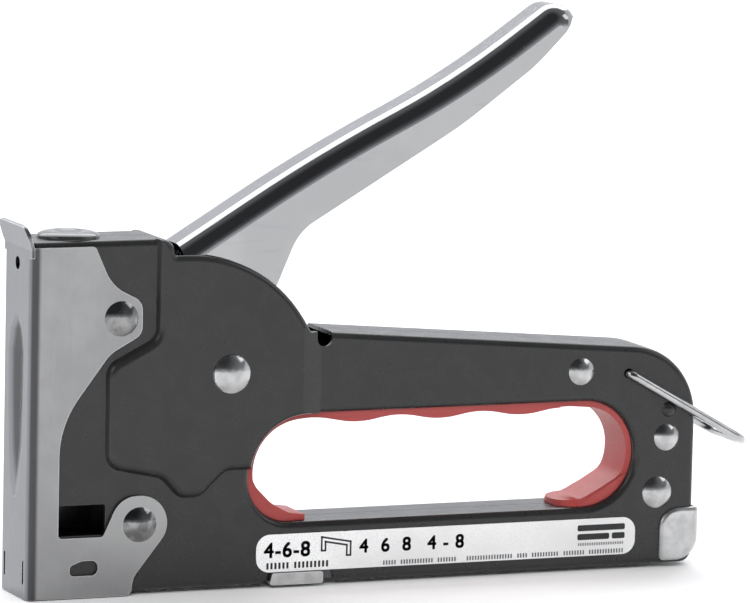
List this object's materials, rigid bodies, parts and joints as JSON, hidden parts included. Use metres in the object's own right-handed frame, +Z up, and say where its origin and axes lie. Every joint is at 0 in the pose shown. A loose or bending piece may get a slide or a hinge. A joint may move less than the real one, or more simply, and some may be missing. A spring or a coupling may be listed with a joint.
{
  "type": "staple gun",
  "caption": "Hand staple gun: two stamped steel shells with a finger opening, squeeze lever on top, wrap-around nose plate, wire latch bail and pull-out staple magazine.",
  "frame": {"origin": "centre of the overall box in X and Y, at the bottom of the nose plate, which is the lowest point", "axes": "+X from the nose to the rear, along the grip; +Y to the tool's right side, with 0 on the seam between the two shells; +Z up, away from the work"},
  "size_m": [0.1644, 0.0204, 0.1202],
  "materials": {
    "shell_paint": "satin dark grey powder coat",
    "zinc_plate": "zinc plated, fine vertical grain",
    "lever_chrome": "bright chrome plate",
    "nickel": "bright nickel rivet",
    "steel": "plain steel",
    "spring_steel": "oiled spring steel",
    "bail_wire": "plated wire",
    "liner_red": "soft matt red",
    "bumper_rubber": "black rubber",
    "tab_zinc": "zinc plated tab",
    "pusher_plastic": "black moulded plastic",
    "staple_wire": "galvanised staple wire",
    "label_paper": "white printed film"
  },
  "bodies": {
    "body": {"right_shell": "shell_paint", "left_shell": "shell_paint", "nose_plate": "zinc_plate", "blade_guide": "steel", "spring_cap": "shell_paint", "spring_guide": "steel", "main_spring": "spring_steel", "bumper": "bumper_rubber", "bumper_bracket": "steel", "pivot_rivet": "nickel", "upper_nose_rivet": "nickel", "lower_nose_rivet": "nickel", "rear_rivets": "nickel", "rear_spacers": "steel", "grip_liner": "liner_red", "label": "label_paper", "magazine_track": "tab_zinc", "keeper_clip": "tab_zinc", "staple_strip": "staple_wire"},
    "squeeze_lever": {"lever": "lever_chrome", "lifter_arm": "steel", "lifter_pin": "steel", "pivot_bushes": "steel", "return_spring": "spring_steel"},
    "hammer": {"plunger": "steel", "driver_blade": "steel"},
    "wire_bail": {"bail": "bail_wire"},
    "magazine": {"magazine_rail": "tab_zinc", "rail_tab": "tab_zinc", "pusher_rod": "steel", "pusher_spring": "spring_steel"},
    "follower": {"pusher": "pusher_plastic"}
  },
  "joints": [
    {"name": "lever_hinge", "type": "hinge", "parent": "body", "child": "squeeze_lever", "pos_m": [-0.03681, 0, 0.0454], "axis": [0, 1, 0], "range_deg": [0, 34], "stiffness_Nm_per_rad": 0.6, "springref_deg": -14.32},
    {"name": "plunger_slide", "type": "slide", "parent": "body", "child": "hammer", "axis": [0, 0, 1], "range_m": [0, 0.017], "deforming": ["main_spring"]},
    {"name": "bail_hinge", "type": "hinge", "parent": "body", "child": "wire_bail", "pos_m": [0.05379, 0, 0.0419], "axis": [0, -1, 0], "range_deg": [0, 150]},
    {"name": "magazine_slide", "type": "slide", "parent": "body", "child": "magazine", "axis": [1, 0, 0], "range_m": [0, 0.09]},
    {"name": "pusher_slide", "type": "slide", "parent": "magazine", "child": "follower", "axis": [1, 0, 0], "range_m": [0, 0.05], "stiffness_N_per_m": 60, "springref_m": -0.03, "deforming": ["pusher_spring"]}
  ],
  "couplings": [
    {"joint": "plunger_slide", "follows": "lever_hinge", "m_per_rad": 0.028559}
  ]
}
